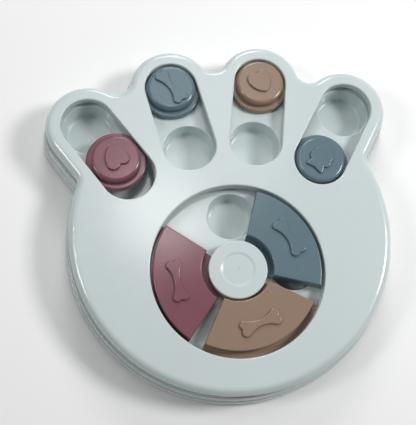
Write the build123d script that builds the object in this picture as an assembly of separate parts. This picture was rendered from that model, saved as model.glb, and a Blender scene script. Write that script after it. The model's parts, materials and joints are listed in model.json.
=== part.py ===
from build123d import *
import os
from math import asin, atan2, cos, degrees, hypot, radians, sin, sqrt, tan

# Paw-shaped slow feeder: a two-shell case, sliding pucks in the toes and turning sectors in the pad.
# Lengths are millimetres and angles degrees. Plans are drawn about the ring's middle, with +Y to the toes.

# Case plan
ring_opening_radius = 62.0
front_rim_width = 24.5
bridge_width = 4.3
rib_width = 5.0
fan_offset = 33.0
toe_count = 4
toe_rim_width = 11.4
valley_radius = 10.5
shoulder_radius = 8.0
slot_radius = 19.8
slot_travel = 48.5

# Case heights
foot_height = 1.5
base_height = 17.0
reveal_height = 0.8
cover_height = 12.7

# Cover
cover_wall = 2.6
cover_edge_radius = 5.8
mouth_edge_radius = 1.0
guide_wall = 2.0
guide_lift = 0.4
boss_radius = 4.0

# Lower shell
tray_wall = 2.4
floor_thickness = 2.2
spigot_clearance = 0.25
ledge_width = 1.9
ledge_edge_radius = 0.4
base_draft = 7.0
lip_height = 7.5
lip_step = 0.9
lip_edge_radius = 0.6
cup_lift = 5.5
cup_wall = 2.0
cup_draft = 7.5
cup_bottom_radius = 2.0
cup_rim_radius = 0.8
toe_cup_setback = 0.4
ring_cup_setback = 3.2
toe_cup_end_shares = {"near": 0.0, "far": 1.0}
ring_cup_names = ("ring_right", "ring_back", "ring_left", "ring_front")
hub_post_wall = 2.4
foot_post_radius = 6.0

# Fits
slide_clearance = 0.2
channel_clearance = 0.4
lip_clearance = 0.3
thread_clearance = 0.05
screw_hole_clearance = 0.15
stem_clearance = 0.05
cut_overrun = 1.0

# Toe sliders
knob_side_gap = 1.6
knob_flange_overlap = 2.4
knob_flange_thickness = 4.7
knob_flange_edge_radius = 1.2
knob_proud = 0.5
knob_wall = 2.2
knob_edge_radius = 2.6
knob_rest_shares = (0.3, 1.0, 1.0, 0.0)
knob_names = ("outer_left", "inner_left", "inner_right", "outer_right")

# Ring sectors
sector_angle = 88.5
sector_side_gap = 3.2
sector_hub_gap = 3.6
sector_flange_overlap = 3.0
sector_flange_thickness = 2.0
sector_post_gap = 2.2
sector_proud = 0.5
sector_wall = 2.2
sector_edge_radius = 0.9
sector_play = 2.2
sector_names = ("left", "front", "right")
sector_rest_angles = (186.3, -75.0, 26.5)
sector_play_shares = (0.6, -0.86, 0.4)

# Hub cap
hub_cap_radius = 21.0
hub_cap_overhang = 4.6
hub_cap_drop = 2.0
hub_cap_edge_radius = 0.8
hub_cap_wall = 2.2
hub_dish_margin = 8.4
hub_dish_depth = 0.5
hub_dish_slope_width = 1.8
hub_gate_radius = 1.3
hub_gate_depth = 0.3
hub_boss_radius = 5.0
hub_seat_width = 2.4

# Raised motifs
motif_height = 1.7
motif_edge_radius = 0.9
motif_notch_radius = 1.0
bone_margin = 0.9
bone_end_width = 11.6
bone_shaft_width = 4.7
bone_lobe_radius = 3.2
heart_lobe_radius = 4.8
heart_lobe_spread = 8.2
heart_lobe_height = 3.6
heart_side_radius = 14.0
heart_tip_radius = 3.0
heart_tip_drop = 6.4
fish_head_radius = 7.8
fish_fin_radius = 4.1
fish_fin_spread = 9.2
fish_fin_setback = 3.2
fish_tail_span = 14.6
fish_tail_root = 11.0
fish_tail_length = 13.1
fish_tail_root_length = 5.4
fish_tail_notch = 1.5
fish_tail_tip_radius = 1.2
sector_bone_shift = 0.8
sector_bone_turn = 1.5
knob_motif_angles = (120.7, 122.0, -69.0, 47.0)

# Fasteners and feet
screw_radius = 1.45
screw_head_radius = 2.9
screw_head_height = 2.0
screw_grip = 6.5
hub_screw_grip = 2.6
screw_slot_width = 0.8
screw_slot_depth = 1.0
valley_screw_setback = 22.0
pad_screw_inset = 11.0
pad_screw_angles = (-5.0, -35.0, -90.0, -145.0, 185.0)
foot_radius = 6.5
foot_edge_radius = 0.5
foot_stem_radius = 2.6
foot_stem_length = 6.0
foot_inset = 12.2
front_foot_angle = 60.0
side_foot_angle = 15.0
toe_foot_setback = 10.0

# Heights above the surface that the feet stand on
parting_z = foot_height + base_height
cover_bottom_z = parting_z + reveal_height
top_z = cover_bottom_z + cover_height
floor_under_z = cover_bottom_z
floor_z = floor_under_z + floor_thickness
lip_top_z = foot_height + lip_height
cup_depth = floor_z - foot_height - cup_lift - cup_wall
slider_bottom_z = floor_z + slide_clearance
knob_flange_top_z = slider_bottom_z + knob_flange_thickness
sector_flange_top_z = slider_bottom_z + sector_flange_thickness
slot_lip_z = knob_flange_top_z + lip_clearance
ring_lip_z = sector_flange_top_z + lip_clearance
guide_bottom_z = floor_z + guide_lift
hub_screw_seat_z = ring_lip_z - floor_thickness

# Radii of what runs in the slots and in the ring
toe_radius = slot_radius + toe_rim_width
knob_radius = slot_radius - knob_side_gap
knob_flange_radius = slot_radius + knob_flange_overlap
slot_channel_radius = knob_flange_radius + channel_clearance
toe_cup_radius = slot_radius - toe_cup_setback
hub_post_radius = hub_cap_radius - hub_cap_overhang
sector_inner_radius = hub_cap_radius + sector_hub_gap
sector_outer_radius = ring_opening_radius - sector_side_gap
sector_flange_inner_radius = hub_post_radius + sector_post_gap
sector_flange_outer_radius = ring_opening_radius + sector_flange_overlap
ring_channel_radius = sector_flange_outer_radius + sector_play + channel_clearance
ring_cup_distance = (ring_opening_radius + hub_cap_radius) / 2
ring_cup_radius = (ring_opening_radius - hub_cap_radius) / 2 - ring_cup_setback
sector_bone_distance = (sector_inner_radius + sector_outer_radius) / 2 + sector_bone_shift
bone_length = 2 * (knob_radius - knob_edge_radius - bone_margin)

# The slots start past the ring's guide and fan out just far enough to leave a rib between their inner ends
fan_to_ring = fan_offset + ring_channel_radius + guide_wall
slot_start = fan_to_ring + bridge_width + guide_wall + slot_channel_radius
toe_reach = slot_start + slot_travel
toe_spacing = 2 * degrees(asin((slot_channel_radius + rib_width / 2) / slot_start))

# The pad runs from the rim in front of the ring to the circle that the toes' ends lie on
pad_back = toe_reach - fan_offset
pad_front = ring_opening_radius + front_rim_width
pad_radius = (pad_back + pad_front) / 2
pad_offset = (pad_back - pad_front) / 2

# Outline growth at each height of the base, counted from the cover's wall
draft_slope = tan(radians(base_draft))
lip_top_grow = ledge_width + (base_height - lip_height) * draft_slope
foot_grow = ledge_width + base_height * draft_slope + lip_step
spigot_grow = -cover_wall - spigot_clearance

# The origin lies under the middle of the case, so the ring sits off it along Y
back_reach = toe_reach * cos(radians(toe_spacing / 2)) - fan_offset + toe_radius + foot_grow
front_reach = pad_offset - pad_radius - foot_grow
ring_place = Pos(0, -(back_reach + front_reach) / 2, 0)

fan_point = (0, -fan_offset)
pad_centre = (0, pad_offset)


# Plan geometry


def polar(angle, distance, start=(0, 0)):
    """The point at a distance from a start, at an angle from +X."""
    return (start[0] + distance * cos(radians(angle)), start[1] + distance * sin(radians(angle)))


def towards(start, end, distance):
    """The point at a distance from a start, on the line to an end."""
    step_share = distance / hypot(end[0] - start[0], end[1] - start[1])
    return tuple(a + (b - a) * step_share for a, b in zip(start, end))


def circles_meet(first, first_radius, second, second_radius):
    """Where two circles cross, on the left of the line from the first to the second."""
    gap = hypot(second[0] - first[0], second[1] - first[1])
    along = (gap**2 + first_radius**2 - second_radius**2) / (2 * gap)
    aside = sqrt(first_radius**2 - along**2)
    bearing = degrees(atan2(second[1] - first[1], second[0] - first[0]))
    return polar(bearing + 90, aside, polar(bearing, along, first))


def arc_about(centre, radius, start, end):
    """The shorter arc of a circle between two of its points."""
    chord_middle = tuple((a + b) / 2 for a, b in zip(start, end))
    return ThreePointArc(start, towards(centre, chord_middle, radius), end)


def mirrored(point):
    """A point's twin on the other side of the Y axis."""
    return (-point[0], point[1])


def toe_angle(toe):
    """The direction of a toe's slot, counted from the left."""
    return 90 + toe_spacing * ((toe_count - 1) / 2 - toe)


def slot_point(toe, share):
    """A point on a slot's centre line, from its inner end at 0 to its outer end at 1."""
    distance = slot_start + slot_travel * share
    return polar(toe_angle(toe), distance, fan_point)


def shoulder_centre():
    """The middle of the hollow between the right toe's flank and the pad."""
    along = toe_angle(toe_count - 1)
    start = polar(along - 90, toe_radius + shoulder_radius, fan_point)
    away = (start[0] - pad_centre[0], start[1] - pad_centre[1])
    lean = away[0] * cos(radians(along)) + away[1] * sin(radians(along))
    reach = (pad_radius + shoulder_radius) ** 2 - hypot(*away) ** 2
    return polar(along, sqrt(lean**2 + reach) - lean, start)


def paw_face(grow):
    """The paw's outline, grown evenly on all sides."""
    toe, pad = toe_radius + grow, pad_radius + grow
    valley, shoulder = valley_radius - grow, shoulder_radius - grow
    tips = [slot_point(k, 1) for k in range(toe_count)]
    hollows = [
        circles_meet(tips[k], toe + valley, tips[k + 1], toe + valley) for k in range(toe_count - 1)
    ]
    right = toe_angle(toe_count - 1) - 90
    corner = shoulder_centre()
    flank_top = polar(right, toe, tips[-1])
    flank_foot = polar(right + 180, shoulder, corner)
    pad_side = towards(pad_centre, corner, pad)
    starts = [mirrored(flank_top)] + [towards(tips[k + 1], hollows[k], toe) for k in range(toe_count - 1)]
    ends = [towards(tips[k], hollows[k], toe) for k in range(toe_count - 1)] + [flank_top]
    edges = [arc_about(tips[k], toe, ends[k], starts[k]) for k in range(toe_count)]
    edges += [arc_about(hollows[k], valley, starts[k + 1], ends[k]) for k in range(toe_count - 1)]
    edges += [Line(flank_foot, flank_top), Line(mirrored(flank_top), mirrored(flank_foot))]
    edges += [arc_about(corner, shoulder, pad_side, flank_foot)]
    edges += [arc_about(mirrored(corner), shoulder, mirrored(flank_foot), mirrored(pad_side))]
    edges += [ThreePointArc(mirrored(pad_side), (0, pad_offset - pad), pad_side)]
    return make_face(edges)


def prism(face, low, high, draft=0):
    """A face raised from one height to another, drawn in by a draft angle on the way up."""
    return Pos(0, 0, low) * extrude(face, high - low, dir=(0, 0, 1), taper=draft)


def disc(radius, low, high, place=(0, 0)):
    """An upright cylinder between two heights."""
    return prism(Pos(*place) * Circle(radius), low, high)


def slot_face(toe, radius):
    """A slot's outline at a given radius."""
    slot = SlotCenterToCenter(slot_travel, 2 * radius)
    return Pos(*slot_point(toe, 1 / 2)) * Rot(0, 0, toe_angle(toe)) * slot


def top_face(solid):
    """The highest flat face of a solid."""
    return solid.faces().filter_by(Axis.Z).sort_by(Axis.Z)[-1]


def rounded_top(solid, radius):
    """A solid with the outer edges of its highest face rounded."""
    return fillet(top_face(solid).outer_wire().edges(), radius)


# Places that several pieces share

valley_distance = toe_reach - valley_screw_setback
pad_screw_distance = pad_radius - pad_screw_inset
foot_distance = pad_radius - foot_inset
ring_cup_step = 360 / len(ring_cup_names)

case_screw_places = [
    polar(toe_angle(k) - toe_spacing / 2, valley_distance, fan_point) for k in range(toe_count - 1)
] + [polar(angle, pad_screw_distance, pad_centre) for angle in pad_screw_angles]

right_foot_places = {
    "front": polar(-front_foot_angle, foot_distance, pad_centre),
    "side": polar(side_foot_angle, foot_distance, pad_centre),
    "toe": polar(toe_angle(toe_count - 1) + toe_spacing / 2, toe_reach - toe_foot_setback, fan_point),
}
foot_places = {f"{name}_right": place for name, place in right_foot_places.items()}
foot_places |= {f"{name}_left": mirrored(place) for name, place in right_foot_places.items()}

cup_places = {
    f"{name}_{end}": (slot_point(k, share), toe_cup_radius)
    for k, name in enumerate(knob_names)
    for end, share in toe_cup_end_shares.items()
} | {
    name: (polar(ring_cup_step * k, ring_cup_distance), ring_cup_radius)
    for k, name in enumerate(ring_cup_names)
}


# Cover


def make_cover():
    """The upper shell, with the slots, the round opening, their lips and the guides below them."""
    shell = rounded_top(prism(paw_face(0), cover_bottom_z, top_z), cover_edge_radius)
    shell -= prism(paw_face(-cover_wall), cover_bottom_z - cut_overrun, top_z - cover_wall)
    inside_z = top_z - cover_wall
    lips = [disc(ring_channel_radius + guide_wall, guide_bottom_z, inside_z)]
    for k in range(toe_count):
        lips += [prism(slot_face(k, slot_channel_radius + guide_wall), guide_bottom_z, inside_z)]
    lips += [disc(boss_radius, floor_z, inside_z, p) for p in case_screw_places]
    shell += lips
    low, high = floor_z - cut_overrun, top_z + cut_overrun
    cuts = [disc(ring_channel_radius, low, ring_lip_z), disc(ring_opening_radius, low, high)]
    for k in range(toe_count):
        cuts += [prism(slot_face(k, slot_channel_radius), low, slot_lip_z)]
        cuts += [prism(slot_face(k, slot_radius), low, high)]
    pilot_top = floor_z + screw_grip + thread_clearance
    cuts += [disc(screw_radius + thread_clearance, low, pilot_top, p) for p in case_screw_places]
    shell -= cuts
    mouths = [edge for wire in top_face(shell).inner_wires() for edge in wire.edges()]
    return fillet(mouths, mouth_edge_radius)


# Lower shell


def make_skirt():
    """The drafted wall with its lip, its ledge and the rim that the cover fits over."""
    upper = prism(paw_face(lip_top_grow), lip_top_z, parting_z, base_draft)
    lower = prism(paw_face(foot_grow), foot_height, lip_top_z, base_draft)
    skirt = rounded_top(upper, ledge_edge_radius) + rounded_top(lower, lip_edge_radius)
    skirt += prism(paw_face(spigot_grow), parting_z, floor_under_z)
    low, ledge_under_z = foot_height - cut_overrun, parting_z - tray_wall
    cavity_grow = foot_grow - lip_step - tray_wall + cut_overrun * draft_slope
    skirt -= prism(paw_face(cavity_grow), low, ledge_under_z, base_draft)
    rim_inside = paw_face(spigot_grow - tray_wall)
    return skirt - prism(rim_inside, ledge_under_z - cut_overrun, floor_under_z + cut_overrun)


def make_floor():
    """The floor that the sliders and sectors run on, open where the cups and the hub post join it."""
    floor = prism(paw_face(spigot_grow), floor_under_z, floor_z)
    low, high = floor_under_z - cut_overrun, floor_z + cut_overrun
    cuts = [cup_shape(*cup, cup_wall, cup_depth + cup_wall) for cup in cup_places.values()]
    cuts += [disc(hub_post_radius, low, high)]
    cuts += [disc(screw_radius + screw_hole_clearance, low, high, p) for p in case_screw_places]
    return floor - cuts


def cup_shape(place, radius, grow, depth):
    """A round cup's shape below the floor, grown sideways and sunk to a depth."""
    slope = tan(radians(cup_draft))
    low_radius = radius + grow - depth * slope
    cup = Pos(*place, floor_z - depth / 2) * Cone(low_radius, radius + grow, depth)
    return fillet(cup.edges().sort_by(Axis.Z)[0], cup_bottom_radius)


def make_cup(place, radius):
    """A cup's wall and bottom, with a rounded rim that is level with the floor."""
    cup = cup_shape(place, radius, cup_wall, cup_depth + cup_wall) - cup_shape(place, radius, 0, cup_depth)
    rim = cup.edges().group_by(Axis.Z)[-1].sort_by(SortBy.RADIUS)[0]
    return fillet(rim, cup_rim_radius)


def make_hub_post():
    """The hollow post that carries the hub cap."""
    post = disc(hub_post_radius, floor_under_z, ring_lip_z)
    low = floor_under_z - cut_overrun
    post -= disc(hub_post_radius - hub_post_wall, low, hub_screw_seat_z)
    return post - disc(screw_radius + screw_hole_clearance, low, ring_lip_z + cut_overrun)


def make_foot_post(place):
    """A post below the floor with a hole for a foot's stem."""
    post = disc(foot_post_radius, foot_height, floor_under_z, place)
    stem_hole_top = foot_height + foot_stem_length + stem_clearance
    return post - disc(foot_stem_radius + stem_clearance, foot_height - cut_overrun, stem_hole_top, place)


# Raised motifs


def raised(face, height):
    """A motif that stands on a surface, with its upper edge rounded."""
    return rounded_top(prism(face, height - motif_edge_radius, height + motif_height), motif_edge_radius)


def bone_face():
    """A bone along X with its middle at the origin."""
    lobe_x, lobe_y = bone_length / 2 - bone_lobe_radius, bone_end_width / 2 - bone_lobe_radius
    shaft, lobe = bone_shaft_width / 2, bone_lobe_radius
    waist_radius = (lobe_x**2 + (lobe_y - shaft) ** 2 - lobe**2) / (2 * (lobe + lobe_y - shaft))
    notch_x = lobe_x + sqrt((lobe + motif_notch_radius) ** 2 - lobe_y**2)
    edges = []
    for right in (1, -1):
        notch = (right * notch_x, 0)
        ends = [towards((right * lobe_x, up * lobe_y), notch, lobe) for up in (1, -1)]
        edges += [arc_about(notch, motif_notch_radius, *ends)]
    for up in (1, -1):
        waist = (0, up * (shaft + waist_radius))
        joins = []
        for right in (1, -1):
            centre = (right * lobe_x, up * lobe_y)
            join = towards(centre, waist, lobe)
            outer = (centre[0] + right * lobe * sqrt(1 / 2), centre[1] + up * lobe * sqrt(1 / 2))
            edges += [ThreePointArc(join, outer, towards(centre, (right * notch_x, 0), lobe))]
            joins += [join]
        edges += [ThreePointArc(joins[0], (0, up * shaft), joins[1])]
    return make_face(edges)


def heart_face():
    """A blunt heart with its tip along +X and its middle at the origin."""
    lobe = (heart_lobe_spread / 2, heart_lobe_height)
    tip = (0, -heart_tip_drop)
    side = circles_meet(
        tip, heart_side_radius - heart_tip_radius, lobe, heart_side_radius - heart_lobe_radius
    )
    notch = (0, lobe[1] + sqrt((heart_lobe_radius + motif_notch_radius) ** 2 - lobe[0] ** 2))
    notch_join = towards(lobe, notch, heart_lobe_radius)
    crown = (lobe[0], lobe[1] + heart_lobe_radius)
    lobe_join = towards(side, lobe, heart_side_radius)
    tip_join = towards(side, tip, heart_side_radius)
    edges = []
    for twin in (tuple, mirrored):
        edges += [ThreePointArc(twin(notch_join), twin(crown), twin(lobe_join))]
        edges += [arc_about(twin(side), heart_side_radius, twin(lobe_join), twin(tip_join))]
    edges += [arc_about(notch, motif_notch_radius, notch_join, mirrored(notch_join))]
    edges += [ThreePointArc(tip_join, (0, -heart_tip_drop - heart_tip_radius), mirrored(tip_join))]
    return Rot(0, 0, 90) * make_face(edges)


def fish_face():
    """A fish with its head along +X: round head, two side fins and a forked tail."""
    fin_x, fin_y = -fish_fin_setback, fish_fin_spread / 2
    fish = Circle(fish_head_radius)
    fish += [Pos(fin_x, side * fin_y) * Circle(fish_fin_radius) for side in (1, -1)]
    tail = [
        (-fish_tail_root_length, fish_tail_root / 2),
        (-fish_tail_length, fish_tail_span / 2),
        (fish_tail_notch - fish_tail_length, 0),
        (-fish_tail_length, -fish_tail_span / 2),
        (-fish_tail_root_length, -fish_tail_root / 2),
    ]
    tail_face = Sketch() + make_face(Polyline(*tail, close=True))
    fish += fillet(tail_face.vertices().sort_by(Axis.X)[:2], fish_tail_tip_radius)
    return Pos((fish_tail_length - fish_head_radius) / 2, 0) * fish


# Toe sliders

knob_motifs = (heart_face, bone_face, heart_face, fish_face)


def make_knob(toe):
    """A stepped puck, hollow below, whose flange is trapped under the slot's edges."""
    knob_top_z = top_z + knob_proud
    flange = disc(knob_flange_radius, slider_bottom_z, knob_flange_top_z)
    knob = rounded_top(flange, knob_flange_edge_radius)
    knob += rounded_top(disc(knob_radius, slider_bottom_z, knob_top_z), knob_edge_radius)
    low = slider_bottom_z - cut_overrun
    knob -= disc(knob_flange_radius - knob_wall, low, knob_flange_top_z - knob_wall)
    knob -= disc(knob_radius - knob_wall, low, knob_top_z - knob_wall)
    motif = Rot(0, 0, knob_motif_angles[toe]) * knob_motifs[toe]()
    knob += raised(motif, knob_top_z)
    return Pos(*slot_point(toe, knob_rest_shares[toe])) * knob


# Ring sectors


def sector_face(inner, outer, angle):
    """A slice of a ring about +X."""
    corners = [polar(side * angle / 2, r) for side, r in ((-1, inner), (-1, outer), (1, outer), (1, inner))]
    edges = [Line(corners[0], corners[1]), ThreePointArc(corners[1], (outer, 0), corners[2])]
    edges += [Line(corners[2], corners[3]), ThreePointArc(corners[3], (inner, 0), corners[0])]
    return make_face(edges)


def make_sector(k):
    """A turning cover for the ring's cups, hollow below, with a flange under the case and the hub cap."""
    sector_top_z = top_z + sector_proud
    block = sector_face(sector_inner_radius, sector_outer_radius, sector_angle)
    sector = rounded_top(prism(block, slider_bottom_z, sector_top_z), sector_edge_radius)
    flange = sector_face(sector_flange_inner_radius, sector_flange_outer_radius, sector_angle)
    sector += prism(flange, slider_bottom_z, sector_flange_top_z)
    inner, outer = sector_inner_radius + sector_wall, sector_outer_radius - sector_wall
    hollow = sector_face(inner, outer, sector_angle - 2 * degrees(sector_wall / inner))
    sector -= prism(hollow, slider_bottom_z - cut_overrun, sector_top_z - sector_wall)
    bone = Pos(sector_bone_distance, 0) * Rot(0, 0, 90 + sector_bone_turn) * bone_face()
    sector += raised(bone, sector_top_z)
    return Rot(0, 0, sector_rest_angles[k]) * Pos(sector_play * sector_play_shares[k], 0) * sector


# Hub cap


def make_hub_cap():
    """The round cap over the sectors' inner flanges, dished on top and screwed down on the post."""
    cap_top_z, dish_radius = top_z - hub_cap_drop, hub_cap_radius - hub_dish_margin
    cap = rounded_top(disc(hub_cap_radius, ring_lip_z, cap_top_z), hub_cap_edge_radius)
    dish = Cone(dish_radius - hub_dish_slope_width, dish_radius, hub_dish_depth)
    cap -= Pos(0, 0, cap_top_z - hub_dish_depth / 2) * dish
    cap -= disc(hub_gate_radius, cap_top_z - hub_dish_depth - hub_gate_depth, cap_top_z)
    low = ring_lip_z - cut_overrun
    hollow = disc(hub_post_radius - hub_seat_width, low, cap_top_z - hub_dish_depth - hub_cap_wall)
    cap -= hollow - disc(hub_boss_radius, low, cap_top_z)
    pilot_top = ring_lip_z + hub_screw_grip + thread_clearance
    return cap - disc(screw_radius + thread_clearance, low, pilot_top)


# Fasteners and feet


def make_screw(place, seat_z, grip):
    """A pan-head screw from below, with a cross in its head and its shank past the wall it holds."""
    head_z = seat_z - screw_head_height
    screw = disc(screw_head_radius, head_z, seat_z, place)
    screw += disc(screw_radius, head_z, seat_z + grip, place)
    for turn in (0, 90):
        bar = Rot(0, 0, turn) * Rectangle(screw_head_radius, screw_slot_width)
        screw -= prism(Pos(*place) * bar, head_z - cut_overrun, head_z + screw_slot_depth)
    return screw


def make_foot(place):
    """A rubber foot with a stem that is pushed into its post."""
    pad = disc(foot_radius, 0, foot_height, place)
    pad = fillet(pad.edges().group_by(Axis.Z)[0], foot_edge_radius)
    return pad + disc(foot_stem_radius, 0, foot_height + foot_stem_length, place)


# Export

nodes = {"cover": make_cover(), "tray_skirt": make_skirt(), "tray_floor": make_floor()}
nodes |= {f"cup_{name}": make_cup(*cup) for name, cup in cup_places.items()}
nodes |= {"hub_post": make_hub_post(), "hub_cap": make_hub_cap()}
nodes |= {f"knob_{name}": make_knob(k) for k, name in enumerate(knob_names)}
nodes |= {f"sector_{name}": make_sector(k) for k, name in enumerate(sector_names)}
nodes["foot_posts"] = Part() + [make_foot_post(place) for place in foot_places.values()]
nodes |= {f"foot_{name}": make_foot(place) for name, place in foot_places.items()}
case_screws = [make_screw(p, floor_under_z, floor_thickness + screw_grip) for p in case_screw_places]
nodes["case_screws"] = Part() + case_screws
nodes["hub_screw"] = make_screw((0, 0), hub_screw_seat_z, floor_thickness + hub_screw_grip)
os.makedirs("parts", exist_ok=True)
for name, piece in nodes.items():
    export_step(ring_place * piece, f"parts/{name}.step")
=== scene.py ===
import json
from math import cos, radians, sin

import bpy
from mathutils import Matrix, Vector


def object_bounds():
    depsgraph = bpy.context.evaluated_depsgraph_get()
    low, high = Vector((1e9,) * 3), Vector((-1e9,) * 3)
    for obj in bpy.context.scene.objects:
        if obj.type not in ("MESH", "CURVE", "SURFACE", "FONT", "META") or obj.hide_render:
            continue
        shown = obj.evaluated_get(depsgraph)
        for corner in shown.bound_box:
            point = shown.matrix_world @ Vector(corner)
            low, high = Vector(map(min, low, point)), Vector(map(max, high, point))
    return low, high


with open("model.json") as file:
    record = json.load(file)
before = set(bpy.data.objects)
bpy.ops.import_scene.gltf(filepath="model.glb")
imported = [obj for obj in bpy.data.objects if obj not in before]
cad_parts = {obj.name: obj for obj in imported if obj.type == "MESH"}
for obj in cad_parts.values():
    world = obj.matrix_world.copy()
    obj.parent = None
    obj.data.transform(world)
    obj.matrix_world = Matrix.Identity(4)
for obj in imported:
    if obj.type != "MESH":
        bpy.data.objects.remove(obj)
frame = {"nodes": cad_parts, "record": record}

cad_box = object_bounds()
MM = 0.001

# The photograph's frame in pixels, and the camera that was fitted to it, about a point on the cover's top
IMAGE_WIDTH, IMAGE_HEIGHT = 416, 425
CAMERA_AZIMUTH = -22.6
CAMERA_ELEVATION = 72.5
CAMERA_ROLL = 17.0
CAMERA_DISTANCE = 471.4 * MM
CAMERA_NEAREST = 10 * MM
CAMERA_TARGET = Vector((-12.4 * MM, -4.55 * MM, 32.0 * MM))
FOCAL_PIXELS = 658.0
MIDDLE_PIXEL = (214.9, 216.0)
SENSOR_WIDTH = 36.0

# Soft studio light, in metres and watts: round panels, a small bright one above the pad and a wide dim one
# above the toes that the gloss mirrors, one behind the toes, one on each side and a dim even room
PANELS = {
    "top_panel": {"place": (-0.02, 0.29, 1.0), "size": 0.2, "power": 0.6},
    "high_panel": {"place": (0.06, 0.48, 1.0), "size": 0.5, "power": 0.9},
    "back_panel": {"place": (0.1, 1.0, 0.7), "size": 0.45, "power": 4.5},
    "right_panel": {"place": (0.84, 0.05, 0.88), "size": 0.32, "power": 8.0},
    "left_panel": {"place": (-0.86, 0.05, 0.88), "size": 0.28, "power": 3.0},
}
ROOM_STRENGTH = 0.15
WHITE = (1, 1, 1, 1)

# The floor that the feeder stands on
FLOOR_REACH = 3.0
FLOOR_ROUGHNESS = 0.9

# Colours as they look under even white light
CASE_COLOUR = "CAD5D5"
PINK_COLOUR = "7F505B"
SLATE_COLOUR = "627881"
TAUPE_COLOUR = "947C6B"
RUBBER_COLOUR = "8F9393"
STEEL_COLOUR = "B9BABD"
FLOOR_COLOUR = "F4F4F4"

# How light bends in the feeder's plastic and in its rubber
ABS_IOR = 1.53
RUBBER_IOR = 1.52


def linear(hex_colour):
    """An sRGB hex colour as linear red, green, blue and full alpha."""
    shares = [int(hex_colour[k:k + 2], 16) / 255 for k in (0, 2, 4)]
    return [s / 12.92 if s <= 0.04045 else ((s + 0.055) / 1.055) ** 2.4 for s in shares] + [1.0]


def shaded(colour, share):
    """A colour made lighter or darker by a share."""
    return [channel * share for channel in colour[:3]] + [1.0]


def add_node(tree, kind, inputs, **settings):
    """Adds a node with its settings, and sets or links each input by its name or number."""
    made = tree.nodes.new(kind)
    for name, value in settings.items():
        setattr(made, name, value)
    for name, value in inputs.items():
        if isinstance(value, bpy.types.NodeSocket):
            tree.links.new(value, made.inputs[name])
        else:
            made.inputs[name].default_value = value
    return made


def new_material(name):
    """An empty node material and the place in the object that its patterns are drawn at."""
    material = bpy.data.materials.new(name)
    material.use_nodes = True
    tree = material.node_tree
    tree.nodes.clear()
    place = add_node(tree, "ShaderNodeTexCoord", {}).outputs["Object"]
    return material, tree, place


def close_material(tree, shader):
    """Gives the material its surface."""
    add_node(tree, "ShaderNodeOutputMaterial", {"Surface": shader.outputs["BSDF"]})


def moulded_plastic(name, colour, gloss, tint_share, peel_depth):
    """ABS from a polished mould.

    Gives the eye an even colour with faint flow clouds, a gloss that sink marks bend, and orange peel.
    """
    material, tree, place = new_material(name)
    flow_size, peel_size, haze_size = 38 * MM, 1.6 * MM, 9 * MM
    sink_size, sink_depth = 30 * MM, 0.05 * MM
    haze_spread = 0.04
    base = linear(colour)
    flow = add_node(
        tree,
        "ShaderNodeTexNoise",
        {"Vector": place, "Scale": 1 / flow_size, "Detail": 6.0, "Roughness": 0.8, "Distortion": 0.6},
    )
    tint = add_node(
        tree,
        "ShaderNodeMix",
        {0: flow.outputs["Fac"], 6: shaded(base, 1 - tint_share), 7: shaded(base, 1 + tint_share)},
        data_type="RGBA",
    )
    haze = add_node(tree, "ShaderNodeTexNoise", {"Vector": place, "Scale": 1 / haze_size, "Detail": 4.0})
    rough = add_node(
        tree,
        "ShaderNodeMapRange",
        {"Value": haze.outputs["Fac"], "To Min": gloss - haze_spread, "To Max": gloss + haze_spread},
    )
    peel = add_node(tree, "ShaderNodeTexNoise", {"Vector": place, "Scale": 1 / peel_size, "Detail": 2.0})
    sink = add_node(tree, "ShaderNodeTexNoise", {"Vector": place, "Scale": 1 / sink_size, "Detail": 1.0})
    waves = add_node(
        tree, "ShaderNodeBump", {"Strength": 1.0, "Distance": sink_depth, "Height": sink.outputs["Fac"]}
    )
    bump = add_node(
        tree,
        "ShaderNodeBump",
        {
            "Strength": 1.0,
            "Distance": peel_depth,
            "Height": peel.outputs["Fac"],
            "Normal": waves.outputs["Normal"],
        },
    )
    shader = add_node(
        tree,
        "ShaderNodeBsdfPrincipled",
        {
            "Base Color": tint.outputs[2],
            "Roughness": rough.outputs["Result"],
            "Normal": bump.outputs["Normal"],
            "IOR": ABS_IOR,
        },
    )
    close_material(tree, shader)
    return material


def moulded_rubber(name, colour):
    """Soft rubber from a sparked mould.

    Gives the eye a matt grey with a fine grain and a dusty bloom.
    """
    material, tree, place = new_material(name)
    # The real grain is about a tenth of a millimetre and wouldn't show, so it is drawn coarser
    grain_size, grain_depth = 0.5 * MM, 0.03 * MM
    bloom_size, bloom_share = 4 * MM, 0.1
    base = linear(colour)
    bloom = add_node(tree, "ShaderNodeTexNoise", {"Vector": place, "Scale": 1 / bloom_size, "Detail": 4.0})
    tint = add_node(
        tree,
        "ShaderNodeMix",
        {0: bloom.outputs["Fac"], 6: shaded(base, 1 - bloom_share), 7: shaded(base, 1 + bloom_share)},
        data_type="RGBA",
    )
    grain = add_node(tree, "ShaderNodeTexNoise", {"Vector": place, "Scale": 1 / grain_size, "Detail": 2.0})
    bump = add_node(
        tree, "ShaderNodeBump", {"Strength": 1.0, "Distance": grain_depth, "Height": grain.outputs["Fac"]}
    )
    rough = add_node(
        tree, "ShaderNodeMapRange", {"Value": bloom.outputs["Fac"], "To Min": 0.7, "To Max": 0.85}
    )
    shader = add_node(
        tree,
        "ShaderNodeBsdfPrincipled",
        {
            "Base Color": tint.outputs[2],
            "Roughness": rough.outputs["Result"],
            "Normal": bump.outputs["Normal"],
            "IOR": RUBBER_IOR,
        },
    )
    close_material(tree, shader)
    return material


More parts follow.
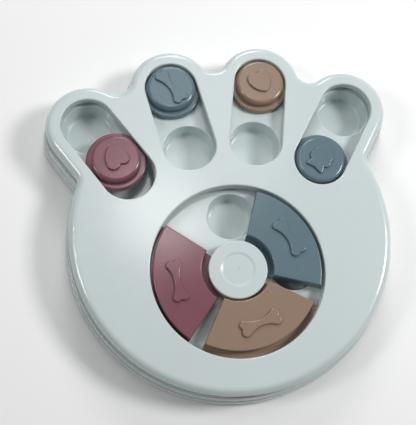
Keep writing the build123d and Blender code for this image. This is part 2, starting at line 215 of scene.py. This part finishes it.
def plated_steel(name, colour):
    """Zinc plate on cold-headed steel.

    Gives the eye a bright grey metal with a mottled haze.
    """
    material, tree, place = new_material(name)
    # The real crystals are finer than this and wouldn't show, so they are drawn coarser
    mottle_size = 0.8 * MM
    dark_share, light_share = 0.88, 1.08
    base = linear(colour)
    mottle = add_node(tree, "ShaderNodeTexNoise", {"Vector": place, "Scale": 1 / mottle_size, "Detail": 3.0})
    tint = add_node(
        tree,
        "ShaderNodeMix",
        {0: mottle.outputs["Fac"], 6: shaded(base, dark_share), 7: shaded(base, light_share)},
        data_type="RGBA",
    )
    rough = add_node(
        tree, "ShaderNodeMapRange", {"Value": mottle.outputs["Fac"], "To Min": 0.28, "To Max": 0.45}
    )
    shader = add_node(
        tree,
        "ShaderNodeBsdfPrincipled",
        {"Base Color": tint.outputs[2], "Roughness": rough.outputs["Result"], "Metallic": 1.0},
    )
    close_material(tree, shader)
    return material


def add_panel(name, place, size, power):
    """A round light panel that faces the feeder."""
    light = bpy.data.lights.new(name, "AREA")
    light.shape = "DISK"
    light.size = size
    light.energy = power
    panel = bpy.data.objects.new(name, light)
    panel.location = place
    panel.rotation_euler = (CAMERA_TARGET - panel.location).to_track_quat("-Z", "Y").to_euler()
    bpy.context.scene.collection.objects.link(panel)


# Finishes, one for each of the record's material slots
finishes = {
    "case_plastic": moulded_plastic(
        "pale_abs_polished_mould", CASE_COLOUR, gloss=0.17, tint_share=0.04, peel_depth=0.006 * MM
    ),
    "pink_plastic": moulded_plastic(
        "pink_abs_polished_mould", PINK_COLOUR, gloss=0.18, tint_share=0.12, peel_depth=0.008 * MM
    ),
    "slate_plastic": moulded_plastic(
        "slate_abs_polished_mould", SLATE_COLOUR, gloss=0.18, tint_share=0.12, peel_depth=0.008 * MM
    ),
    "taupe_plastic": moulded_plastic(
        "taupe_abs_polished_mould", TAUPE_COLOUR, gloss=0.2, tint_share=0.12, peel_depth=0.008 * MM
    ),
    "foot_rubber": moulded_rubber("grey_rubber_moulded", RUBBER_COLOUR),
    "screw_steel": plated_steel("zinc_plated_steel", STEEL_COLOUR),
}
for part in frame["record"]["subparts"]:
    for slot in frame["nodes"][part["node"]].material_slots:
        slot.material = finishes[part["material_slot"]]

# Floor
floor_level = cad_box[0][2]
floor_sides = ((-1, -1), (1, -1), (1, 1), (-1, 1))
floor_corners = [(x * FLOOR_REACH, y * FLOOR_REACH, floor_level) for x, y in floor_sides]
floor_mesh = bpy.data.meshes.new("floor")
floor_mesh.from_pydata(floor_corners, [], [(0, 1, 2, 3)])
floor = bpy.data.objects.new("floor", floor_mesh)
bpy.context.scene.collection.objects.link(floor)
floor_paint, floor_tree, _ = new_material("matt_studio_floor")
floor_shader = add_node(
    floor_tree,
    "ShaderNodeBsdfPrincipled",
    {"Base Color": linear(FLOOR_COLOUR), "Roughness": FLOOR_ROUGHNESS},
)
close_material(floor_tree, floor_shader)
floor_mesh.materials.append(floor_paint)

# Light
for panel_name, panel_values in PANELS.items():
    add_panel(panel_name, **panel_values)
room = bpy.data.worlds.new("room")
room.use_nodes = True
room_light = room.node_tree.nodes["Background"].inputs
room_light["Color"].default_value = WHITE
room_light["Strength"].default_value = ROOM_STRENGTH
bpy.context.scene.world = room
bpy.context.scene.view_settings.view_transform = "Standard"

# Camera
azimuth, elevation, roll = (radians(a) for a in (CAMERA_AZIMUTH, CAMERA_ELEVATION, CAMERA_ROLL))
back = Vector((sin(azimuth) * cos(elevation), -cos(azimuth) * cos(elevation), sin(elevation)))
level = (-back).cross(Vector((0, 0, 1))).normalized()
upright = level.cross(-back)
right = level * cos(roll) + upright * sin(roll)
up = upright * cos(roll) - level * sin(roll)
view = bpy.data.cameras.new("photo_camera")
view.sensor_width = SENSOR_WIDTH
view.lens = FOCAL_PIXELS / IMAGE_HEIGHT * SENSOR_WIDTH
view.shift_x = (IMAGE_WIDTH / 2 - MIDDLE_PIXEL[0]) / IMAGE_HEIGHT
view.shift_y = (MIDDLE_PIXEL[1] - IMAGE_HEIGHT / 2) / IMAGE_HEIGHT
view.clip_start = CAMERA_NEAREST
camera = bpy.data.objects.new("photo_camera", view)
turn = Matrix((right, up, back)).transposed().to_4x4()
camera.matrix_world = Matrix.Translation(CAMERA_TARGET + back * CAMERA_DISTANCE) @ turn
bpy.context.scene.collection.objects.link(camera)
bpy.context.scene.camera = camera
